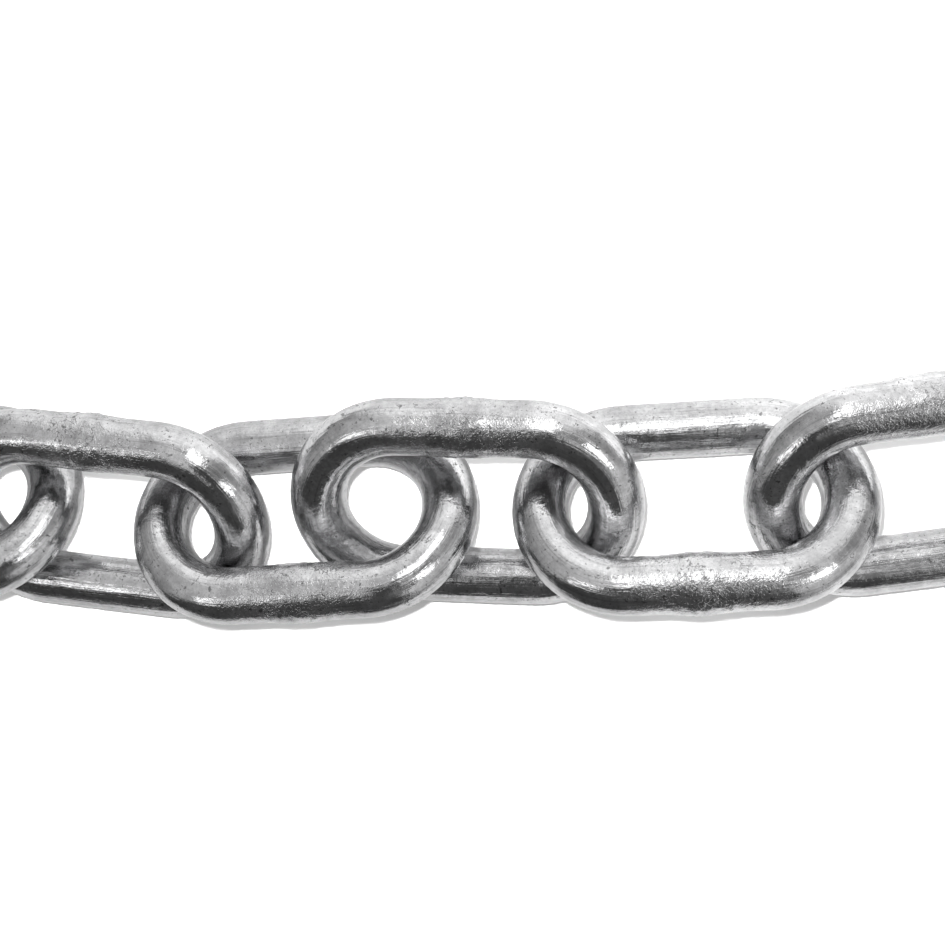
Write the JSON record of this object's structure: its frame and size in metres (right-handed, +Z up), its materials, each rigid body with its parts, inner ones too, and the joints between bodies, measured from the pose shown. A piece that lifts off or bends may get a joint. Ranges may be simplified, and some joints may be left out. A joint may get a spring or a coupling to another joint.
{
  "type": "steel chain",
  "caption": "Short run of round-link welded steel chain lying slack on a floor, each oval link leaning on its neighbours and free to swing in the next link's bow.",
  "frame": {"origin": "centre of the chain's box, at floor level", "axes": "+X along the chain, towards the last link, and +Z up from the floor"},
  "size_m": [0.2793, 0.0282, 0.0125],
  "materials": {
    "steel": "bright drawn wire, shiny and a little scratched, with rough trimmed welds"
  },
  "bodies": {
    "link_01": {"link_01": "steel"},
    "link_02": {"link_02": "steel"},
    "link_03": {"link_03": "steel"},
    "link_04": {"link_04": "steel"},
    "link_05": {"link_05": "steel"},
    "link_06": {"link_06": "steel"},
    "link_07": {"link_07": "steel"},
    "link_08": {"link_08": "steel"},
    "link_09": {"link_09": "steel"},
    "link_10": {"link_10": "steel"},
    "link_11": {"link_11": "steel"},
    "link_12": {"link_12": "steel"},
    "link_13": {"link_13": "steel"},
    "link_14": {"link_14": "steel"}
  },
  "joints": [
    {"name": "swing_01_02", "type": "hinge", "parent": "link_01", "child": "link_02", "pos_m": [-0.11515, 0.00475, 0.00609], "axis": [0, 0, 1], "range_deg": [-12, 15]},
    {"name": "swing_02_03", "type": "hinge", "parent": "link_02", "child": "link_03", "pos_m": [-0.09567, 0.00339, 0.00609], "axis": [0, 0, 1], "range_deg": [-8, 15]},
    {"name": "swing_03_04", "type": "hinge", "parent": "link_03", "child": "link_04", "pos_m": [-0.07611, 0.00121, 0.00609], "axis": [0, 0, 1], "range_deg": [-15, 10]},
    {"name": "swing_04_05", "type": "hinge", "parent": "link_04", "child": "link_05", "pos_m": [-0.05658, -0.00056, 0.00609], "axis": [0, 0, 1], "range_deg": [-6, 16]},
    {"name": "swing_05_06", "type": "hinge", "parent": "link_05", "child": "link_06", "pos_m": [-0.03706, -0.00357, 0.00609], "axis": [0, 0, 1], "range_deg": [-30, 25]},
    {"name": "swing_06_07", "type": "hinge", "parent": "link_06", "child": "link_07", "pos_m": [-0.0189, -0.00532, 0.00609], "axis": [0, 0, 1], "range_deg": [-29, 11]},
    {"name": "swing_07_08", "type": "hinge", "parent": "link_07", "child": "link_08", "pos_m": [0.00003, -0.00387, 0.00609], "axis": [0, 0, 1], "range_deg": [-8, 28]},
    {"name": "swing_08_09", "type": "hinge", "parent": "link_08", "child": "link_09", "pos_m": [0.01465, -0.00353, 0.00609], "axis": [0, 0, 1], "range_deg": [-12, 4]},
    {"name": "swing_09_10", "type": "hinge", "parent": "link_09", "child": "link_10", "pos_m": [0.03449, -0.00284, 0.00609], "axis": [0, 0, 1], "range_deg": [-16, 3]},
    {"name": "swing_10_11", "type": "hinge", "parent": "link_10", "child": "link_11", "pos_m": [0.05427, -0.00038, 0.00609], "axis": [0, 0, 1], "range_deg": [-8, 17]},
    {"name": "swing_11_12", "type": "hinge", "parent": "link_11", "child": "link_12", "pos_m": [0.07382, 0.00119, 0.00609], "axis": [0, 0, 1], "range_deg": [-16, 10]},
    {"name": "swing_12_13", "type": "hinge", "parent": "link_12", "child": "link_13", "pos_m": [0.09329, 0.00339, 0.00609], "axis": [0, 0, 1], "range_deg": [-4, 18]},
    {"name": "swing_13_14", "type": "hinge", "parent": "link_13", "child": "link_14", "pos_m": [0.11305, 0.00385, 0.00609], "axis": [0, 0, 1], "range_deg": [-11, 15]}
  ]
}
